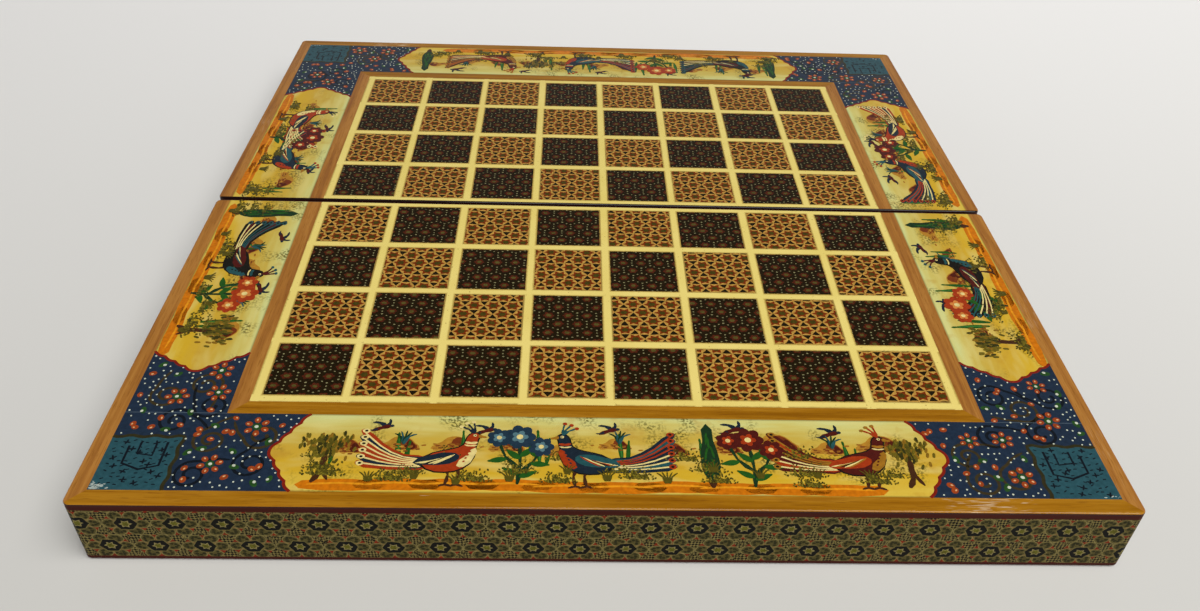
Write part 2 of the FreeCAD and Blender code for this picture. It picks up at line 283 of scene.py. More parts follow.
for seed, half in enumerate(HALF_TURN):
    sheet, tree, shader, place = finish(f"yellowed_cream_sheet_{half}", half, VARNISH)
    cloud = node(tree, "TexNoise", {"Vector": place, "W": seed, "Scale": 1 / SHEET_CLOUD, "Detail": 3},
                 noise_dimensions="4D")
    cream = node(tree, "MixRGB", {"Fac": cloud, "Color1": linear(SHEET_SHADE), "Color2": linear(SHEET_TINT)})
    edge = board_cell(tree, place)[1]
    crept = node(tree, "MapRange", {"Value": edge, "From Min": SQUARE_HALF - 0.1,
                                    "From Max": SQUARE_HALF + CREEP, "To Min": 0.75, "To Max": 0})
    speck = node(tree, "TexNoise", {"Vector": place, "Scale": 1 / SHEET_SPECK, "Detail": 1})
    speck = node(tree, "MapRange", {"Value": speck, "From Min": 0.735, "From Max": 0.77, "To Max": 0.6})
    for mask, hex_colour in ((crept, GLUE), (speck, SPECK)):
        cream = node(tree, "MixRGB", {"Fac": mask, "Color1": cream, "Color2": linear(hex_colour)})
    bump = node(tree, "Bump", {"Height": cloud, "Distance": SHEET_DEPTH * MM, "Strength": 0.4})
    feed(shader, {"Base Color": seam_edge(tree, cream, place), "Normal": bump})
    wear([f"{half}_field_sheet"], sheet)

# Squares: light and dark khatam
# Square slices of two khatam blocks, laid by hand, so the stars start elsewhere on every square.
# Light: olive stars with red tips in cream wood, dark triangles between them.
# Dark: olive hearts ringed with red petals in black wood, and pale dots of bone.
SQUARES = {  # pitch and row of the stars in mm, ground, and rods as in the wall veneer; a minus means beyond
    "light": (8.72, 6.1, "#A87F38", (
        ("#1A1204", -0.443, 210), ("#6A2606", 0.222, 60), ("#3E360C", 0.160, 45))),
    "dark": (8.64, 5.96, "#1C1203", (
        ("#481C0C", 0.085, (0.20, 0)), ("#481C0C", 0.05, (0.15, 0.087)), ("#4C441C", 0.125, 30),
        ("#787450", 0.04, (0.5, 0.01)), ("#787450", 0.046, (0.49, 0.283))))}
START_RANGE = 40  # mm by which the pattern of a square may start elsewhere
WORN_EDGE, WORN_WIDTH = "#94783A", 0.25
RUBBED_VARNISH = {**VARNISH, "Coat Weight": 0.15}
for half in HALF_TURN:
    for kind, (pitch, row, ground, rods) in SQUARES.items():
        squares, tree, shader, place = finish(f"{kind}_khatam_{half}", half, RUBBED_VARNISH)
        chance, edge = board_cell(tree, place)
        start = node(tree, "VectorMath", {0: chance, "Scale": START_RANGE}, operation="SCALE")
        flat = node(tree, "VectorMath", {0: place, 1: start}, operation="ADD")
        star = star_lattice(tree, handmade(tree, flat, 1.2, 4), pitch, row)
        khatam = aged(tree, inlay(tree, linear(ground), star, rods), place, 1.2, 0.75)
        worn = node(tree, "Math", {0: edge, 1: SQUARE_HALF - WORN_WIDTH}, operation="GREATER_THAN")
        khatam = node(tree, "MixRGB", {"Fac": worn, "Color1": khatam, "Color2": linear(WORN_EDGE)})
        feed(shader, {"Base Color": khatam})
        wear([f"{half}_{kind}_squares"], squares)

# Painted plates: ground of the border pictures
# Cream plates glued round the chess field, washed from a pale sky at the inside to deep yellow outside.
# The washes run streaky along the plate, with thin cream patches, ochre clouds and sponged shrubs in them.
# The washes are darker along both edges, and the varnish over the paint is thick and glossy.
BAND_WIDTH = 40.0
END_BAND, SIDE_BAND = 155.5, 153.0  # mm from the hinge axis and from the middle to the bands
WASHES = ((0.0, "#C0C07C"), (0.10, "#C0B464"), (0.26, "#B89E42"), (0.5, "#BA9630"), (0.75, "#C09A24"),
          (0.95, "#C8AA40"))  # place across the band, and colour
THIN_WASH, OCHRE_WASH, SHRUB_WASH, EDGE_DARK = "#CCBE74", "#A87A22", "#4E4816", "#5A4A1C"
STREAK, THIN_PATCH = (26, 3.5), (30, 8)  # mm, length and width
CLOUD, SHRUB, SPONGE, EDGE_DARK_WIDTH = 9, 13, 1.1, 0.9  # mm
BLEED = 16  # mm by which the washes run into each other
for seed, half in enumerate(HALF_TURN):
    for along, across, inner, sides in (("X", "Y", END_BAND, ("end",)),
                                        ("Y", "X", SIDE_BAND, ("left", "right"))):
        plate, tree, shader, place = finish(f"washed_cream_plate_{half}_{along.lower()}", half, VARNISH)
        axes = node(tree, "SeparateXYZ", {0: place})
        reach = node(tree, "Math", {0: axes.outputs[across]}, operation="ABSOLUTE")
        streak = drawn_out(tree, place, along, *STREAK, 3, seed + 3)
        streak = node(tree, "Math", {0: streak, 1: BLEED, 2: -BLEED / 2}, operation="MULTIPLY_ADD")
        out = node(tree, "Math", {0: reach, 1: streak}, operation="ADD")
        out = node(tree, "MapRange", {"Value": out, "From Min": inner, "From Max": inner + BAND_WIDTH})
        wash = node(tree, "ValToRGB", {"Fac": out})
        for stop, hex_colour in WASHES:
            wash.color_ramp.elements.new(stop).color = linear(hex_colour)
        wash.color_ramp.elements.remove(wash.color_ramp.elements[0])
        wash.color_ramp.elements.remove(wash.color_ramp.elements[-1])
        thin = drawn_out(tree, place, along, *THIN_PATCH, 2, seed + 12)
        thin = node(tree, "MapRange", {"Value": thin, "From Min": 0.5, "From Max": 0.66, "To Max": 0.5})
        cloud = node(tree, "TexNoise", {"Vector": place, "Scale": 1 / CLOUD, "Detail": 3})
        cloud = node(tree, "MapRange", {"Value": cloud, "From Min": 0.58, "From Max": 0.74, "To Max": 0.45})
        shrub = node(tree, "TexNoise", {"Vector": place, "W": seed, "Scale": 1 / SHRUB, "Detail": 1},
                     noise_dimensions="4D")
        shrub = node(tree, "MapRange", {"Value": shrub, "From Min": 0.53, "From Max": 0.68, "To Max": 0.85})
        sponge = node(tree, "TexNoise", {"Vector": place, "Scale": 1 / SPONGE, "Detail": 2})
        sponge = node(tree, "MapRange", {"Value": sponge, "From Min": 0.46, "From Max": 0.58})
        shrub = node(tree, "Math", {0: shrub, 1: sponge}, operation="MULTIPLY")
        layers = [(thin, THIN_WASH), (cloud, OCHRE_WASH), (shrub, SHRUB_WASH)]
        # Both edges of each plate are painted darker in a thin band.
        for limit, width in ((inner, EDGE_DARK_WIDTH), (inner + BAND_WIDTH, -EDGE_DARK_WIDTH)):
            darker_edge = node(tree, "MapRange", {"Value": reach, "From Min": limit, "From Max": limit + width,
                                           "To Min": 0.7, "To Max": 0})
            layers.append((darker_edge, EDGE_DARK))
        for mask, hex_colour in layers:
            wash = node(tree, "MixRGB", {"Fac": mask, "Color1": wash, "Color2": linear(hex_colour)})
        feed(shader, {"Base Color": seam_edge(tree, wash, place)})
        wear([f"{half}_{side}_plate" for side in sides], plate)

# Corner paintings: blue spandrels with flowers, and a teal tile in each corner
# Gouache laid over the plates and varnished: a dark blue ground up to the cartouche ends, scrolls, then
# orange flowers, green leaves and white dots. A scalloped red line parts it from the pictures.
OUTER_X, OUTER_Y = SIDE_BAND + BAND_WIDTH, END_BAND + BAND_WIDTH
END_SHOULDER, SIDE_SHOULDER, BRACKET = 120.0, 119.5, 12.0  # mm, start and depth of the cartouche ends
SCALLOP, SCALLOP_BACK = 0.9, 0.4  # mm, height of the scallops, and how far they are set back
TILE = 27.0
TILE_GATES = ((((5, 3), (5, 15), (12, 17), (19, 14), (19, 5)), 1.0),  # mm in the tile, and width of the line
              (((9, 4), (9, 10), (15, 9), (15, 3)), 0.9))
FILM, PAINT_ROOT = 0.03, 0.3  # mm, height of the first coat and depth in the plate
COAT_STEP, COATS_HEIGHT = 0.006, 0.12  # mm, height of a next coat, and of all the coats of a motif
SCROLL_LEVEL, MARK_LEVEL, FLOWER_LEVEL, CHIP_STEP = 0.02, 0.04, 0.06, 0.002  # mm over the first coat
WELD = 0.0005  # mm
BLUE, TEAL_TILE, RED_LINE, TILE_LINE, JOINT_LINE = "#1B2839", "#24474E", "#741A0C", "#2C2814", "#46525C"
FLOWER, FLOWER_LIGHT, LEAF, WHITE, CHIP = "#8C3A14", "#C89A6C", "#22441A", "#B8BCA8", "#98A098"
SCROLL_DARK, SCROLL_OLIVE = "#0D131A", "#352C18"
SCROLL_SIZE, SCROLL_GAP, SCROLL_ROOM = 1.15, 12.5, 1.2  # mm between scrolls, and to the edge of the blue
SPRINKLED = (("flower", 5, 5.5, 13), ("bud", 4, 3.5, 8), ("petal", 12, 2.5, 5), ("leaf_dab", 14, 2.5, 4.5),
             ("dot", 150, 1.0, 2.1))  # motif, how many, mm to the edge of the blue, mm between them
CHIPS, WORN_CORNER = 6, {("front", 1): 34}  # chips in the paint of a corner, and of the one knocked most
gouache, motifs = {}, {}
for half in HALF_TURN:
    gouache[half], tree, shader, place = finish(f"varnished_gouache_{half}", half, VARNISH)
    paint = node(tree, "Attribute", attribute_name="paint").outputs["Color"]
    feed(shader, {"Base Color": aged(tree, paint, place, 1.8, 0.84)})


def pick(patches):
    """Selects patches and makes the first one active."""
    bpy.ops.object.select_all(action="DESELECT")
    for patch in patches:
        patch.select_set(True)
    bpy.context.view_layer.objects.active = patches[0]


def brush(outline, hex_colour, coat_height, sharp=False):
    """One closed patch of paint, rooted in the plate, with its colour in an attribute of its points."""
    curve = bpy.data.curves.new("paint", "CURVE")
    curve.dimensions = "2D"
    curve.fill_mode = "BOTH"
    curve.resolution_u = 1 if sharp else 2
    top = FILM + coat_height
    curve.extrude = (top + PAINT_ROOT) / 2
    spline = curve.splines.new("BEZIER")
    spline.bezier_points.add(len(outline) - 1)
    spline.use_cyclic_u = True
    for knot, (x, y) in zip(spline.bezier_points, outline):
        knot.co = (x, y, 0)
        knot.handle_left_type = knot.handle_right_type = "VECTOR" if sharp else "AUTO"
    patch = bpy.data.objects.new("paint", curve)
    scene.collection.objects.link(patch)
    pick([patch])
    bpy.ops.object.convert(target="MESH")
    bpy.ops.object.mode_set(mode="EDIT")
    bpy.ops.mesh.select_all(action="SELECT")
    bpy.ops.mesh.remove_doubles(threshold=WELD)
    bpy.ops.object.mode_set(mode="OBJECT")
    patch = bpy.context.object
    patch.data.transform(Matrix.Translation((0, 0, (top - PAINT_ROOT) / 2)))
    colour = patch.data.attributes.new("paint", "FLOAT_COLOR", "POINT")
    colour.data.foreach_set("color", linear(hex_colour) * len(patch.data.vertices))
    return patch


def joined(patches):
    """Several patches as one mesh."""
    pick(patches)
    bpy.ops.object.join()
    return bpy.context.object


def motif(name, strokes):
    """A motif painted once, coat over coat, to be copied."""
    step = min(COAT_STEP, COATS_HEIGHT / len(strokes))
    made = joined([brush(outline, colour, coat * step) for coat, (outline, colour) in enumerate(strokes)])
    scene.collection.objects.unlink(made)
    motifs[name] = made


def dab(x, y, wide, high, turn=0.0, corners=6):
    """Outline of an oval dab."""
    c, s = cos(radians(turn)), sin(radians(turn))
    angles = [2 * pi * k / corners for k in range(corners)]
    return [(x + wide * cos(a) * c - high * sin(a) * s,
             y + wide * cos(a) * s + high * sin(a) * c) for a in angles]


def stroke(points, width):
    """Outline of a brush stroke along points of x, y and pressure."""
    left, right = [], []
    for i, (x, y, press) in enumerate(points):
        before, after = points[max(i - 1, 0)], points[min(i + 1, len(points) - 1)]
        run, rise = after[0] - before[0], after[1] - before[1]
        half_width = width * press / 2 / hypot(run, rise)
        left.append((x - rise * half_width, y + run * half_width))
        right.append((x + rise * half_width, y - run * half_width))
    return left + right[::-1]


def even(points):
    """Points of a stroke with the same pressure all along."""
    return [(x, y, 1) for x, y in points]


def stamp(name, x, y, turn, size, level):
    """A copy of a motif on the playing face of a half."""
    copy = motifs[name].copy()
    copy.data = motifs[name].data.copy()
    turned = Matrix.Rotation(radians(turn), 4, "Z") @ Matrix.Diagonal((size, size, 1, 1))
    copy.matrix_world = Matrix.Translation((x, y, STRIP_TOP + level)) @ turned
    scene.collection.objects.link(copy)
    return copy


def laid(outline, hex_colour, coat):
    """A patch that is painted once, straight on the playing face."""
    patch = brush(outline, hex_colour, coat * COAT_STEP, sharp=True)
    patch.location.z = STRIP_TOP
    return patch


def hang(name, patches, half):
    """Joins the paint of one picture and sets it on its half."""
    picture = joined(patches)
    bpy.ops.object.transform_apply(location=True, rotation=True, scale=True)
    onto = Matrix.Rotation(pi if half == "front" else 0, 4, "Z")
    onto = onto @ Matrix.Translation((0, 0, AXIS_HEIGHT * MM)) @ Matrix.Rotation(-LEAN, 4, "X")
    onto = onto @ Matrix.Translation((0, 0, AXIS_BELOW_RIM * MM))
    picture.data.transform(onto @ Matrix.Diagonal((MM, MM, MM, 1)))
    picture.name = picture.data.name = name
    picture.data.materials.clear()
    picture.data.materials.append(gouache[half])
    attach(picture, f"{half}_half")


def bracket(shoulder, across):
    """Where the scalloped cartouche end lies, for a place across the band."""
    rise = 1 - abs(across - BAND_WIDTH / 2) * 2 / BAND_WIDTH
    return shoulder + BRACKET * rise + SCALLOP * abs(sin(4 * pi * rise)) - SCALLOP_BACK


def on_blue(x, y, room):
    """Whether a place, counted from the middle, lies on the blue ground with some room round it."""
    in_end = OUTER_Y - room > y > END_BAND + room and x > bracket(END_SHOULDER, y - END_BAND) + room
    in_side = OUTER_X - room > x > SIDE_BAND + room and y > bracket(SIDE_SHOULDER, x - SIDE_BAND) + room
    in_tile = x > OUTER_X - TILE - room and y > OUTER_Y - TILE - room
    return (in_end and x < OUTER_X - room or in_side and y < OUTER_Y - room) and not in_tile


motif("dot", [(dab(0, 0, 0.38, 0.36, 0, 4), WHITE)])
petals = [(3.3 * cos(k * pi / 3), 3.2 * sin(k * pi / 3), 60 * k) for k in range(6)]
motif("flower", [(dab(x, y, 1.4, 1.1, turn), FLOWER) for x, y, turn in petals]
      + [(dab(x * 1.08, y * 1.08 + 0.2, 0.5, 0.32, turn, 4), FLOWER_LIGHT) for x, y, turn in petals]
      + [(dab(0, 0, 1.7, 1.5), LEAF), (dab(0.1, 0.1, 0.75, 0.7, 0, 4), WHITE)])
motif("petal", [(dab(0, 0, 1.5, 1.15), FLOWER), (dab(0.2, 0.35, 0.55, 0.35, 0, 4), FLOWER_LIGHT)])
motif("bud", [(dab(-1.2, 0, 1.45, 1.15, 50), FLOWER), (dab(1.1, 0.3, 1.45, 1.15, -50), FLOWER),
              (dab(-1.2, 0.4, 0.5, 0.3, 50, 4), FLOWER_LIGHT),
              (dab(1.1, 0.7, 0.5, 0.3, -50, 4), FLOWER_LIGHT)])
motif("leaf_dab", [(dab(0, 0, 2.0, 1.1, 25), LEAF), (dab(-0.6, 0.4, 0.7, 0.6, 0, 4), WHITE)])
spiral = [(6.2 * (1 - t / 17), 0.75 * t) for t in range(14)]
scroll_line = [(9.5, -8.5), (8.2, -3.5)] + [(r * cos(a), r * sin(a)) for r, a in spiral]
pressed = [(x, y, min(1.0, 0.4 + 0.4 * i, 0.2 * (20 - i))) for i, (x, y) in enumerate(scroll_line)]
for name, colour in (("dark_scroll", SCROLL_DARK), ("olive_scroll", SCROLL_OLIVE)):
    motif(name, [(stroke(pressed, 1.1), colour)])
motif("tile_mark", [(stroke([(-1.1, 0, 0.5), (0, 0.1, 1), (1.1, 0.2, 0.5)], 0.45), SCROLL_DARK),
                    (stroke([(0, -1, 0.5), (0, 0, 1), (0.1, 1, 0.5)], 0.45), SCROLL_DARK)])
motif("chip", [(dab(0, 0, 0.75, 0.26, 10, 5), CHIP)])
motif("tile_dash", [(stroke([(-0.5, 0, 0.5), (0, 0, 1), (0.6, 0.1, 0.5)], 0.35), SCROLL_DARK)])

for seed, (half, side) in enumerate((half, side) for half in HALF_TURN for side in (-1, 1)):
    chance = random.Random(40 + seed)
    steps = [BAND_WIDTH * k / 48 for k in range(49)]
    end_line = [(side * bracket(END_SHOULDER, a), END_BAND + a) for a in steps]
    side_line = [(side * (SIDE_BAND + a), bracket(SIDE_SHOULDER, a)) for a in steps]
    corner = [(side * OUTER_X, OUTER_Y)]
    ground = end_line + corner + side_line[::-1] + [(side * SIDE_BAND, END_BAND)]
    tile_x, tile_y = OUTER_X - TILE, OUTER_Y - TILE
    wave = [0.5 * sin(k * 1.3) for k in range(15)]
    tile_line = ([(side * (tile_x + wave[k]), OUTER_Y - TILE * k / 14) for k in range(15)]
                 + [(side * (tile_x + TILE * k / 14), tile_y + wave[14 - k]) for k in range(1, 15)])
    joint = [(side * SIDE_BAND, END_BAND), (side * OUTER_X, END_BAND)]
    patches = [laid(ground, BLUE, 0), laid(tile_line + corner, TEAL_TILE, 3)]
    for line, width, colour, coat in ((tile_line, 1.5, TILE_LINE, 5), (end_line, 1.2, RED_LINE, 4),
                                      (side_line, 1.2, RED_LINE, 4), (joint, 0.3, JOINT_LINE, 4)):
        patches.append(laid(stroke(even(line), width), colour, coat))
    for gate, width in TILE_GATES:
        line = [(side * (tile_x + x), tile_y + y) for x, y in gate]
        patches.append(laid(stroke(even(line), width), SCROLL_DARK, 5))
    taken = []
    for attempt in range(600):
        x, y, turn = chance.uniform(126, 190), chance.uniform(126, 192), chance.uniform(0, 2 * pi)
        course = [(side * x + SCROLL_SIZE * (px * cos(turn) - py * sin(turn)),
                   y + SCROLL_SIZE * (px * sin(turn) + py * cos(turn))) for px, py in scroll_line]
        clear = all(hypot(x - tx, y - ty) > SCROLL_GAP for tx, ty in taken)
        if clear and all(on_blue(abs(px), py, SCROLL_ROOM) for px, py in course):
            taken.append((x, y))
            name = "olive_scroll" if len(taken) % 2 else "dark_scroll"
            patches.append(stamp(name, side * x, y, degrees(turn), SCROLL_SIZE, SCROLL_LEVEL))
    taken = []
    for name, count, room, gap in SPRINKLED:
        for attempt in range(count * 14):
            if count == 0:
                break
            x, y = chance.uniform(122, OUTER_X - room), chance.uniform(122, OUTER_Y - room)
            near = any(hypot(x - tx, y - ty) < (gap + tg) / 2 for tx, ty, tg in taken)
            if on_blue(x, y, room) and not near:
                taken.append((x, y, gap))
                turn, size = chance.uniform(0, 360), chance.uniform(0.9, 1.15)
                patches.append(stamp(name, side * x, y, turn, size, FLOWER_LEVEL))
                count -= 1
    for x, y in ((x, y) for x in range(3, 27, 3) for y in range(3, 27, 3)):
        name = "tile_dash" if (x + y) % 4 else "tile_mark"
        mark_x, mark_y = tile_x + x + chance.uniform(-1, 1), tile_y + y + chance.uniform(-1, 1)
        patches.append(stamp(name, side * mark_x, mark_y, chance.uniform(-30, 30), 1.3, MARK_LEVEL))
    for k in range(WORN_CORNER.get((half, side), CHIPS)):
        x, y = OUTER_X - abs(chance.gauss(0, 3.2)) - 0.5, OUTER_Y - abs(chance.gauss(0, 1.3)) - 0.5
        turn, size = chance.uniform(-25, 25), chance.uniform(0.3, 1.1)
        patches.append(stamp("chip", side * x, y, turn, size, FLOWER_LEVEL + CHIP_STEP * k))
    left = (side < 0) == (half == "back")
    hang(f"{half}_{'left' if left else 'right'}_corner_painting", patches, half)

# Border pictures: a garden with birds on every side of the board
# Gouache over the yellow washes: rocks, grass, reeds and bushes, then trees, long-tailed birds and flowers;
# swallows fly above. The ground lies along the outer edge, so each picture is upright from its own side.
NAVY, MAROON, BLACK, TEAL, RED, STRAW = "#17222C", "#47140E", "#14120C", "#1F484A", "#92300E", "#CFBC78"
GREEN, DARK_GREEN, LIGHT_GREEN, OLIVE = "#1E4C16", "#162E18", "#346828", "#4C4410"
OCHRE, BROWN, ORANGE, LIGHT_ORANGE = "#8E6018", "#3E2210", "#B86606", "#CC8414"
TREE_LEAVES = (OLIVE, "#625414", "#302E0E", "#7A5A16")
BUSH_LEAVES = (OLIVE, "#6C6018", "#383410")
ROCK_DABS = ("#8E5C1C", "#A8782A", "#6E3C14")
FEATHER = ((0, 0.5), (0.35, 0.85), (0.7, 1.0), (1, 0.45))  # part of its length, and pressure of the brush
BIRD_BODY = [(-8, 9), (-4, 12.6), (1.5, 14.2), (4.8, 16), (5.6, 19), (7.4, 21), (9.4, 20.2), (9.2, 18.2),
             (8.6, 15), (8.4, 11.2), (5.4, 6.6), (0, 5.0), (-5.4, 6.2)]
BIRD_BREAST = [(8.5, 14.8), (8.4, 11.4), (5.6, 7.2), (3.4, 7.6), (6.2, 11.8)]
BIRD_WING = [(-9.5, 8.6), (-4, 11.8), (1, 12.8), (4, 11.6), (3.2, 9.4), (-1, 7.9), (-5, 7.8)]
BIRD_BEAK = [(9.2, 20.1), (10.4, 19.7), (11.6, 19.1), (10.3, 19), (9.2, 18.9)]
BIRD_CREST = ((3.6, 23.4), (5.2, 24.8), (7.2, 25.4))


def tail_feather(k):
    """Points of one feather of the fanned tail, from the rump to the tip."""
    return [(-5 - 21 * s, 7.4 + 0.5 * k - 2.2 * s + (3.5 + 2.1 * k) * s * s, press) for s, press in FEATHER]


def bird(name, body, wing, trim, facing):
    """A long-tailed bird with a crest, standing."""
    feathers = [tail_feather(k) for k in (5, 0, 4, 1, 3, 2)]
    strokes = [(stroke(feather, 2.6), (body, wing)[i // 2 % 2]) for i, feather in enumerate(feathers)]
    strokes += [(stroke(feather, 0.5), STRAW if i % 2 else trim) for i, feather in enumerate(feathers)]
    for feather in feathers:
        x, y = feather[-1][0] + 1.2, feather[-1][1] - 0.4
        strokes += [(dab(x, y, 1.15, 0.9), trim), (dab(x, y, 0.55, 0.45, 0, 4), BLACK)]
    for x in (0, 3.2):
        strokes += [(stroke([(x, 8, 1), (x + 1.3, 4.2, 0.8), (x + 0.7, 0.4, 0.8)], 0.75), BROWN),
                    (stroke([(x - 1, -0.1, 0.5), (x + 0.7, 0.4, 1), (x + 2.8, -0.2, 0.5)], 0.6), BROWN)]
    strokes += [(BIRD_BODY, body), (stroke(even(BIRD_BODY + BIRD_BODY[:1]), 0.4), BLACK),
                (BIRD_BREAST, trim), (BIRD_WING, wing)]
    for k in range(5):
        quill = [(-8.6 + 1.3 * k, 8.5 - 0.1 * k, 0.4), (-4.4 + 1.1 * k, 9.3 + 0.2 * k, 1),
                 (-1 + 0.9 * k, 10.4 + 0.4 * k, 0.4)]
        strokes.append((stroke(quill, 0.5), (STRAW, trim, BLACK)[k % 3]))
    strokes += [(dab(6.9 - 0.5 * k, 13.2 - 1.3 * k, 0.45, 0.3, 40, 4), body) for k in range(4)]
    strokes += [(stroke([(5.4, 17, 0.6), (7, 16.6, 1), (8.9, 16.9, 0.6)], 0.8), trim),
                (stroke([(5.2, 15.9, 0.6), (7, 15.5, 1), (8.8, 15.8, 0.6)], 0.4), STRAW), (BIRD_BEAK, OCHRE)]
    for x, y in BIRD_CREST:
        plume = [(7.8, 20.6, 1), ((x + 8.2) / 2, (y + 21.4) / 2, 0.8), (x, y, 0.5)]
        strokes += [(stroke(plume, 0.5), wing), (dab(x, y, 0.7, 0.55, 0, 4), trim)]
    strokes += [(dab(8, 19.8, 0.55, 0.5, 0, 4), STRAW), (dab(8.1, 19.8, 0.25, 0.25, 0, 4), BLACK)]
    motif(name, [([(x * facing, y) for x, y in outline], colour) for outline, colour in strokes])


def blossom(x, y, size, petal, heart):
    """Strokes of one open flower."""
    strokes = []
    for count, step, away, wide, high, corners, colour in ((7, 0.9, 0.62, 0.5, 0.4, 6, petal),
                                                           (5, 1.25, 0.3, 0.3, 0.22, 4, heart)):
        for k in range(count):
            px, py = x + away * size * cos(k * step), y + away * size * sin(k * step)
            strokes.append((dab(px, py, wide * size, high * size, degrees(k * step), corners), colour))
    return strokes + [(dab(x, y, 0.24 * size, 0.24 * size, 0, 4), STRAW)]


def blade(x, y, length, width, turn):
    """Outline of a leaf that starts at a point."""
    c, s = cos(radians(turn)), sin(radians(turn))
    right = [(width * 0.28, length * 0.1), (width * 0.5, length * 0.38), (width * 0.42, length * 0.62),
             (width * 0.2, length * 0.85)]
    plain = [(0, 0)] + right + [(0, length)] + [(-px, py) for px, py in right[::-1]]
    return [(x + px * c - py * s, y + px * s + py * c) for px, py in plain]


def flowering(name, petal, heart):
    """A plant with three open flowers."""
    stems = [(stroke(line, 0.9), DARK_GREEN) for line in (
        [(0, 0, 1), (0.6, 8, 0.9), (0, 18, 0.8)], [(0.4, 5, 1), (5, 10, 0.8), (7, 15, 0.6)],
        [(0.4, 7, 1), (-4.5, 12, 0.8), (-6.8, 19, 0.6)])]
    leaves = [(blade(x, y, 6.5, 2.4, turn), GREEN) for x, y, turn in (
        (0.3, 4, 62), (0.4, 3, -66), (0.5, 11, 50), (4, 9, -95), (-4, 11, 100), (0.4, 12, -48),
        (5.5, 12, 20))]
    motif(name, stems + leaves + blossom(0, 21, 5, petal, heart) + blossom(7.4, 16.5, 4, petal, heart)
          + blossom(-7, 20.5, 3.8, petal, heart))


for facing, way in ((1, "right"), (-1, "left")):
    bird(f"navy_bird_{way}", NAVY, TEAL, RED, facing)
    bird(f"maroon_bird_{way}", MAROON, RED, OCHRE, facing)
    bird(f"black_bird_{way}", BLACK, MAROON, TEAL, facing)
    bird(f"red_bird_{way}", RED, NAVY, STRAW, facing)
flowering("maroon_plant", MAROON, RED)
flowering("red_plant", RED, "#BE7434")
flowering("blue_plant", "#1C2E3C", "#4C6A70")
motif("cypress", [(stroke([(0, 0, 1), (0.1, 5, 0.8)], 1.2), BROWN),
                  ([(0, 3), (2.6, 6), (3.2, 12), (1.9, 21), (0, 29), (-1.8, 21), (-3.1, 12), (-2.5, 6)],
                   DARK_GREEN)]
      + [(stroke([(x, y, 0.4), (x * 0.7, y + 3, 1), (x * 0.3, y + 5.5, 0.4)], 0.7), GREEN)
         for x, y in ((-2, 6), (1.8, 7), (0.2, 5), (-1.6, 12), (1.5, 13), (0, 17), (-0.8, 19))])
canopy = random.Random(7)
motif("tree", [(stroke([(-2.5, 0, 0.7), (-0.5, 4, 1), (0, 14, 0.6)], 1.5), BROWN),
               (stroke([(2.6, 1, 0.5), (0.6, 5, 1), (0, 8, 0.8)], 1.1), BROWN)]
      + [(dab(canopy.gauss(0, 3.8), 17 + canopy.gauss(0, 2.6), 0.45, 1.2, canopy.uniform(-25, 25), 4),
          canopy.choice(TREE_LEAVES)) for k in range(130)])
motif("bush", [(dab(canopy.gauss(0, 2.8), abs(canopy.gauss(0, 2.2)), 0.28, 0.5, canopy.uniform(-60, 60), 4),
                canopy.choice(BUSH_LEAVES)) for k in range(140)])
motif("rock", [([(-9, -0.4), (-7, 2.2), (-4.6, 3.6), (-2.4, 6), (1.2, 6.8), (4.4, 5.8), (7, 3), (9.4, -0.2),
                 (4, -1.2), (-3, -1)], "#A07022"),
               ([(-1, -0.6), (-0.6, 3), (1.4, 6.2), (4.2, 5.4), (6.6, 2.8), (8.4, 0), (3.4, -0.8)],
                "#6A2E10"),
               ([(3, -0.4), (3.4, 2.6), (4.6, 4.4), (6.4, 2.4), (7.6, 0.2)], "#48180C")]
      + [(dab(canopy.gauss(-1, 5), canopy.gauss(0.4, 1.2), 1.1, 0.4, canopy.uniform(-15, 15), 4),
          canopy.choice(ROCK_DABS)) for k in range(26)])
motif("reed", [(blade(0, 0, 17, 2.2, 4), GREEN), (blade(2.4, -1, 14, 2.0, -4), GREEN),
               (blade(0.1, 1, 13, 0.7, 4), LIGHT_GREEN)])
motif("tuft", [(stroke([(0.4 * k, 0, 1), (0.8 * k, 2.8, 0.9), (1.8 * k, 5.2 - 0.3 * abs(k), 0.3)], 0.5),
                OLIVE) for k in (-2, -1, 0, 1, 2)])
motif("sprig", [(stroke([(0, 0, 1), (bend * 0.4, 4, 0.9), (bend, 7.5 - abs(bend) * 0.5, 0.3)], 0.8), shade)
                for bend, shade in ((-4, DARK_GREEN), (-1.6, TEAL), (0.8, DARK_GREEN), (2.6, DARK_GREEN),
                                    (4.6, TEAL))])
motif("swallow", [(stroke([(-5.5, 2.6, 0.3), (-2.5, 2.4, 0.8), (0.6, 0.2, 1)], 1.5), NAVY),
                  (stroke([(1.6, 4.6, 0.3), (1.9, 2.4, 0.8), (0.4, 0, 1)], 1.5), NAVY),
                  (stroke([(-5.2, -2.4, 0.5), (-1.2, -0.5, 1), (2.6, 0.5, 0.7)], 1.7), MAROON),
                  (stroke([(-6.6, -2.0, 0.3), (-4.6, -2, 0.8), (-3, -1.2, 1)], 0.8), NAVY),
                  (dab(2.9, 0.6, 0.9, 0.75), NAVY)])
motif("grass_wash", [([(-15, 0.2), (-9, 2.4), (0, 2.9), (8, 2.5), (16, 0.6), (9, -2), (0, -2.2),
                       (-10, -1.8)], ORANGE),
                     (stroke([(-11, 0.4, 0.4), (0, 1.1, 1), (11, 0.4, 0.4)], 0.8), LIGHT_ORANGE)])

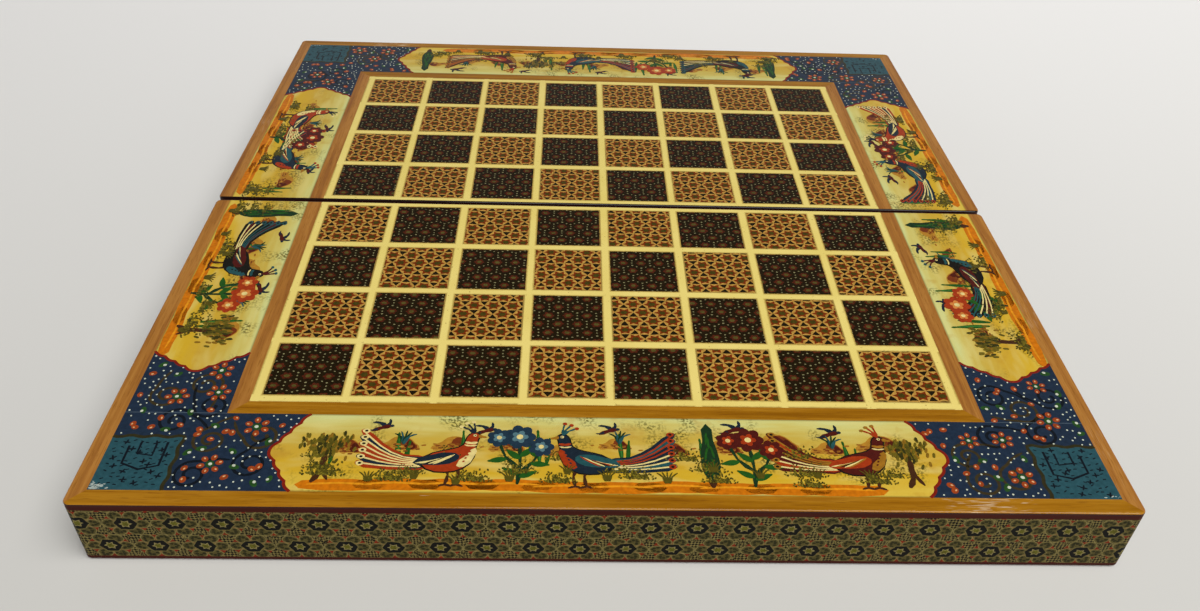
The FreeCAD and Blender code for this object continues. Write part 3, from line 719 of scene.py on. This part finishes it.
BAND_END, SEAM_ROOM = 118, 5  # mm along a band to the end of its picture, and from the seam to its start
BIRD_SIZE, PLANT_SIZE, GRASS_SIZE = 1.3, 1.15, 1.1
ROCK_STEP, SWALLOW_STEP = 21, 46  # mm
GRASS_LEVEL, SWALLOW_LEVEL, SPRIG_LEVEL, PICTURE_LEVEL = 0.02, 0.03, 0.12, 0.15  # mm over the first coat
SCATTERED = (  # motif, mm between them, lowest and highest place over the outer edge, level of the paint
    ("reed", 29, 12, 18, 0.05), ("bush", 47, 15, 19, 0.10), ("bush", 37, 9, 13, 0.12),
    ("bush", 31, 4, 8, 0.30), ("tuft", 19, 2, 12, 0.34))
END_PLAN = {  # motif, and mm along the band
    "back": (("cypress", -114), ("black_bird_left", -88), ("red_plant", -38), ("navy_bird_right", 10),
             ("tree", 40), ("maroon_bird_left", 66), ("cypress", 113)),
    "front": (("tree", -110), ("red_bird_right", -64), ("blue_plant", -36), ("navy_bird_left", -9),
              ("cypress", 38), ("maroon_plant", 54), ("maroon_bird_right", 96), ("tree", 116))}
SIDE_PLAN = {
    "back": (("navy_bird_right", 42), ("maroon_plant", 66), ("red_bird_left", 88)),
    "front": (("cypress", 13), ("black_bird_right", 54), ("red_plant", 79), ("tree", 105))}
for seed, (half, side) in enumerate((half, side) for half in HALF_TURN for side in ("end", -1, 1)):
    chance = random.Random(70 + seed)
    start, stop = -BAND_END if side == "end" else SEAM_ROOM, BAND_END
    garden = []
    for count, along in enumerate(range(start + 14, stop - 10, ROCK_STEP)):
        high, size = chance.uniform(19, 25), chance.uniform(0.7, 1.15)
        garden.append(("rock", along, high, size, 0.0))
        if count % 2:
            garden.append(("sprig", along + 2, high + 2, 1.0, SPRIG_LEVEL))
    for along in range(start + 14, stop - 12, ROCK_STEP):
        garden.append(("grass_wash", along + 2, chance.uniform(2.6, 3.8), GRASS_SIZE, GRASS_LEVEL))
    for name, room, low, high, level in SCATTERED:
        for along in range(start + 6, stop - 4, room):
            garden.append((name, along + chance.uniform(-4, 4), chance.uniform(low, high),
                           chance.uniform(0.8, 1.15), level))
    for along in range(start + 26, stop - 8, SWALLOW_STEP):
        garden.append(("swallow", along + chance.uniform(-5, 5), chance.uniform(32, 34.5),
                       chance.uniform(0.8, 1.05), SWALLOW_LEVEL))
    for name, along in (END_PLAN if side == "end" else SIDE_PLAN)[half]:
        size = BIRD_SIZE if "bird" in name else PLANT_SIZE
        garden.append((name, along, 3.0 + chance.uniform(0, 2), size, PICTURE_LEVEL))
    patches = []
    for name, along, high, size, level in garden:
        if side == "end":
            patches.append(stamp(name, -along, OUTER_Y - high, 180, size, level))
        else:
            patches.append(stamp(name, side * (OUTER_X - high), along, 90 * side, size, level))
    place_name = "end" if side == "end" else "left" if (side < 0) == (half == "back") else "right"
    hang(f"{half}_{place_name}_picture", patches, half)
for made in motifs.values():
    bpy.data.objects.remove(made)

# Inside: lining and points of the second game
# Brown veneer glued under the deck, with long tapered points of pale and dark wood let in from both sides.
# Straight-grained and only thinly varnished, because the inside is not handled much.
THIN_VARNISH = {"Roughness": 0.5, "IOR": 1.5, "Coat Weight": 0.25, "Coat Roughness": 0.25, "Coat IOR": 1.5}
FIGURE, FINE_PORE, PORE_DEPTH = (45, 1.6), (6, 0.35), 0.06  # mm, lengths and widths, and relief
for seed, half in enumerate(HALF_TURN):
    for name, along, shade, tint in (("floor_lining", "Y", "#7A4A14", "#9A6824"),
                                     ("light_points", "X", "#C09A54", "#D2B270"),
                                     ("dark_points", "X", "#2A120A", "#46220F")):
        veneer, tree, shader, place = finish(f"inlay_wood_{name}_{half}", half, THIN_VARNISH)
        figure = drawn_out(tree, place, along, *FIGURE, 4, seed + 2)
        pore = drawn_out(tree, place, along, *FINE_PORE, 2, seed + 6)
        wood = node(tree, "MixRGB", {"Fac": figure, "Color1": linear(shade), "Color2": linear(tint)})
        dark = node(tree, "MapRange", {"Value": pore, "From Min": 0.55, "From Max": 0.7, "To Max": 0.4})
        wood = node(tree, "MixRGB", {"Fac": dark, "Color1": wood, "Color2": linear(shade)})
        bump = node(tree, "Bump", {"Height": pore, "Distance": PORE_DEPTH * MM, "Strength": 0.5})
        feed(shader, {"Base Color": wood, "Normal": bump})
        wear([f"{half}_{name}"], veneer)

# Hinges: two small butt hinges in the rims, with their pins and screws
# Rolled brass sheet on a brass wire pin, let in flush and screwed with countersunk brass screws.
# Drawn and tumbled brass, dulled by handling, with fine rolling marks along the leaf.
BRASS, DULL_BRASS, BRIGHT_BRASS = {"Metallic": 1.0, "Roughness": 0.32}, "#B08A3C", "#D9B561"
ROLL_MARK, DULL_PATCH = (12, 0.3), 5  # mm
for half, names in (("back", ["left_hinge_back_leaf", "right_hinge_back_leaf", "left_hinge_pin",
                              "right_hinge_pin", "back_hinge_screws"]),
                    ("front", ["left_hinge_front_leaf", "right_hinge_front_leaf", "front_hinge_screws"])):
    brass, tree, shader, place = finish(f"rolled_brass_{half}", half, BRASS)
    dull = node(tree, "TexNoise", {"Vector": place, "Scale": 1 / DULL_PATCH, "Detail": 3})
    metal = node(tree, "MixRGB", {"Fac": dull, "Color1": linear(DULL_BRASS), "Color2": linear(BRIGHT_BRASS)})
    roll = drawn_out(tree, place, "X", *ROLL_MARK, 3)
    rough = node(tree, "MapRange", {"Value": roll, "To Min": 0.22, "To Max": 0.45})
    feed(shader, {"Base Color": metal, "Roughness": rough})
    wear(names, brass)

# Studio: pale table, soft light, camera of the photograph
# A matt white table, with painted shade darker to the front, under one broad lamp at the front right.
# The room is bright low down and dark above, which puts a sheen on the far half.
# The camera stands close in front of the box and looks down on it, with a slight roll.
TABLE_NEAR_PAINTED_SHADE, TABLE_FAR, TABLE_PAINTED_SHADE_REACH = "#BCBAB4", "#F4F2EF", (-0.3, 0.5)  # m, start and end of the shading
ROOM = ((0.1, 0.85), (0.3, 0.50), (0.48, 0.12), (0.7, 0.05))  # height in the room, and brightness
LAMP_PLACE, LAMP_TURN, LAMP_SIZE, LAMP_WATTS = (0.8, -1.1, 2.4), (25, 17, 0), 2.4, 105.0
CAMERA_PLACE, CAMERA_TURN = (-0.01823, -0.44564, 0.31870), (51.7308, -1.8612, -0.9066)
LENS, SENSOR = 30.14, 36  # mm
bpy.ops.mesh.primitive_plane_add(size=6)
table = bpy.context.object
table.name = "table"
paper = bpy.data.materials.new("matt_white_table")
paper.use_nodes = True
tree, shader = paper.node_tree, paper.node_tree.nodes["Principled BSDF"]
# Painted shade: the table's colour runs from dark at the front to bright at the back, in place of falling
# light.
depth = node(tree, "SeparateXYZ", {0: node(tree, "TexCoord").outputs["Object"]}).outputs["Y"]
depth = node(tree, "MapRange", {"Value": depth, "From Min": TABLE_PAINTED_SHADE_REACH[0], "From Max": TABLE_PAINTED_SHADE_REACH[1]})
shade = node(tree, "MixRGB", {"Fac": depth, "Color1": linear(TABLE_NEAR_PAINTED_SHADE), "Color2": linear(TABLE_FAR)})
feed(shader, {"Base Color": shade, "Roughness": 0.6})
table.data.materials.append(paper)

world = bpy.data.worlds.new("studio")
scene.world = world
world.use_nodes = True
tree = world.node_tree
height = node(tree, "SeparateXYZ", {0: node(tree, "TexCoord").outputs["Generated"]}).outputs["Z"]
room = node(tree, "ValToRGB", {"Fac": height})
for stop, level in ROOM:
    room.color_ramp.elements.new(stop).color = (level, level, level, 1)
room.color_ramp.elements.remove(room.color_ramp.elements[0])
room.color_ramp.elements.remove(room.color_ramp.elements[-1])
feed(tree.nodes["Background"], {"Color": room})

lamp = bpy.data.objects.new("front_right", bpy.data.lights.new("front_right", "AREA"))
lamp.data.size = LAMP_SIZE
lamp.data.energy = LAMP_WATTS
lamp.location = LAMP_PLACE
lamp.rotation_euler = [radians(angle) for angle in LAMP_TURN]
scene.collection.objects.link(lamp)

camera = bpy.data.objects.new("camera", bpy.data.cameras.new("camera"))
camera.data.sensor_fit = "HORIZONTAL"
camera.data.sensor_width = SENSOR
camera.data.lens = LENS
camera.data.clip_start = 0.01
camera.location = CAMERA_PLACE
camera.rotation_euler = [radians(angle) for angle in CAMERA_TURN]
scene.collection.objects.link(camera)
scene.camera = camera
scene.view_settings.view_transform = "Standard"
